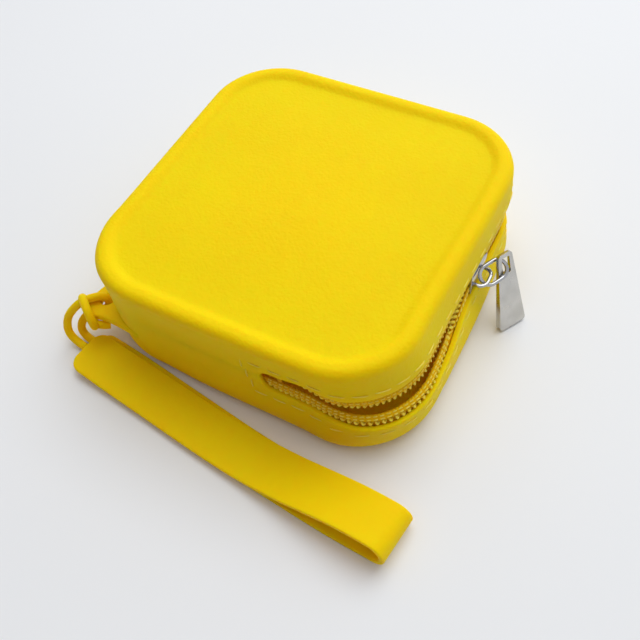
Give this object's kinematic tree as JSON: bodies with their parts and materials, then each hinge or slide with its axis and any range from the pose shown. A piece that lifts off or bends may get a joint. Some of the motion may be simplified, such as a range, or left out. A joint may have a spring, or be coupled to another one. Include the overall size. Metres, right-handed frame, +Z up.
{
  "type": "silicone makeup bag",
  "caption": "Square soft silicone zip case with rounded corners, dished lid, wrist strap on a corded ear, and a metal zip pull.",
  "frame": {"origin": "centre of the case's underside, on the surface it stands on", "axes": "+Z up through the lid; -Y the long side that the strap lies along, where the mouth begins; +X the side with the zip slider"},
  "size_m": [0.1384, 0.1389, 0.0415],
  "materials": {
    "case_silicone": "matte fine grain",
    "strap_silicone": "matte",
    "cord_silicone": "satin",
    "zip_tape": "woven",
    "zip_teeth": "satin",
    "thread": "twisted thread",
    "slider_metal": "polished",
    "pull_metal": "satin polished"
  },
  "bodies": {
    "case": {"case_shell": "case_silicone", "lower_zip_tape": "zip_tape", "upper_tape_ends": "zip_tape", "lower_zip_teeth": "zip_teeth", "front_stop": "slider_metal", "back_stop": "slider_metal", "case_stitching": "thread", "strap_cord": "cord_silicone", "cord_hitch": "cord_silicone"},
    "lid": {"lid_flap": "case_silicone", "upper_zip_tape": "zip_tape", "upper_zip_teeth": "zip_teeth", "lid_stitching": "thread"},
    "slider": {"slider_body": "slider_metal", "slider_bail": "slider_metal"},
    "ring": {"pull_ring": "slider_metal"},
    "tab": {"pull_tab": "pull_metal"},
    "strap": {"wrist_band": "strap_silicone"}
  },
  "joints": [
    {"name": "lid_fold", "type": "hinge", "parent": "case", "child": "lid", "pos_m": [0.018, 0, 0.0415], "axis": [0, -1, 0], "range_deg": [0, 35], "deforming": ["upper_zip_tape", "upper_zip_teeth", "lower_zip_tape", "lower_zip_teeth", "upper_tape_ends"]},
    {"name": "zip_slide", "type": "slide", "parent": "case", "child": "slider", "axis": [0, 1, 0], "range_m": [-0.032, 0.014], "deforming": ["upper_zip_teeth", "lower_zip_teeth", "upper_zip_tape", "lower_zip_tape"]},
    {"name": "ring_swivel", "type": "hinge", "parent": "slider", "child": "ring", "pos_m": [0.0573, 0.0049, 0.023], "axis": [0, 0, -1], "range_deg": [-3, 40]},
    {"name": "tab_swing", "type": "hinge", "parent": "ring", "child": "tab", "pos_m": [0.06217, 0.01295, 0.02432], "axis": [-0.5105, -0.8599, 0], "range_deg": [-10, 3]},
    {"name": "strap_swing", "type": "hinge", "parent": "case", "child": "strap", "pos_m": [-0.05395, -0.04775, 0.014], "axis": [0, 0, -1], "range_deg": [0, 70], "deforming": ["strap_cord"]}
  ]
}
